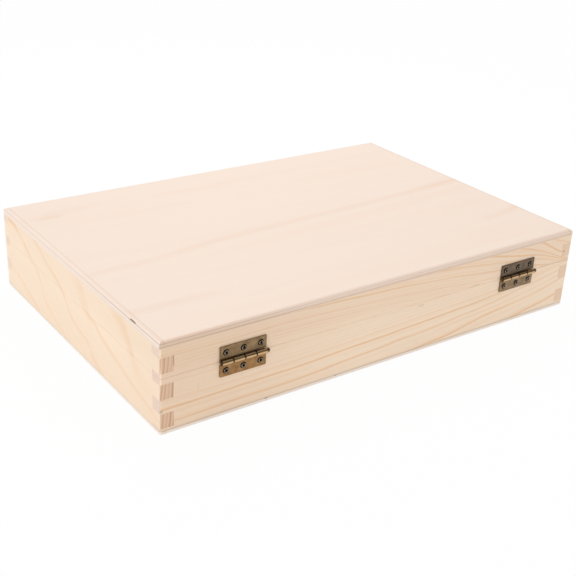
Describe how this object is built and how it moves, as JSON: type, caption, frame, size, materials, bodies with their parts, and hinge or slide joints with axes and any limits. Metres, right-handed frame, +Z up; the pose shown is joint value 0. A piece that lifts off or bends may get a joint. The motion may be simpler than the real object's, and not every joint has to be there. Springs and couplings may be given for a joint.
{
  "type": "hinged wooden box",
  "caption": "Flat finger-jointed pine box with a plywood top and bottom, a lid on brass butt hinges at the back and a swing hook at the front.",
  "frame": {"origin": "middle of the flat underside, on the surface that the box stands on", "axes": "+X to the right along the front, seen from the front; +Y from the clasp to the hinges; +Z up"},
  "size_m": [0.4, 0.2821, 0.0714],
  "materials": {
    "pine": "bare, planed and sanded",
    "top_plywood": "bare, sanded",
    "bottom_plywood": "bare, sanded",
    "antique_brass": "antiqued and brushed",
    "pin_brass": "antiqued",
    "screw_steel": "darkened"
  },
  "bodies": {
    "base": {"base_front_board": "pine", "base_back_board": "pine", "base_left_board": "pine", "base_right_board": "pine", "base_bottom_panel": "bottom_plywood", "left_hinge_base_leaf": "antique_brass", "right_hinge_base_leaf": "antique_brass", "left_hinge_pin": "pin_brass", "right_hinge_pin": "pin_brass", "clasp_pivot_screw": "antique_brass"},
    "lid": {"lid_top_panel": "top_plywood", "lid_front_board": "pine", "lid_back_board": "pine", "lid_left_board": "pine", "lid_right_board": "pine", "left_hinge_lid_leaf": "antique_brass", "right_hinge_lid_leaf": "antique_brass", "clasp_catch_screw": "antique_brass"},
    "hook": {"clasp_hook": "antique_brass"}
  },
  "joints": [
    {"name": "lid_hinge", "type": "hinge", "parent": "base", "child": "lid", "pos_m": [0, 0.1397, 0.0438], "axis": [-1, 0, 0], "range_deg": [0, 180]},
    {"name": "hook_swing", "type": "hinge", "parent": "base", "child": "hook", "pos_m": [0, -0.1375, 0.0348], "axis": [0, -1, 0], "range_deg": [0, 180]}
  ]
}
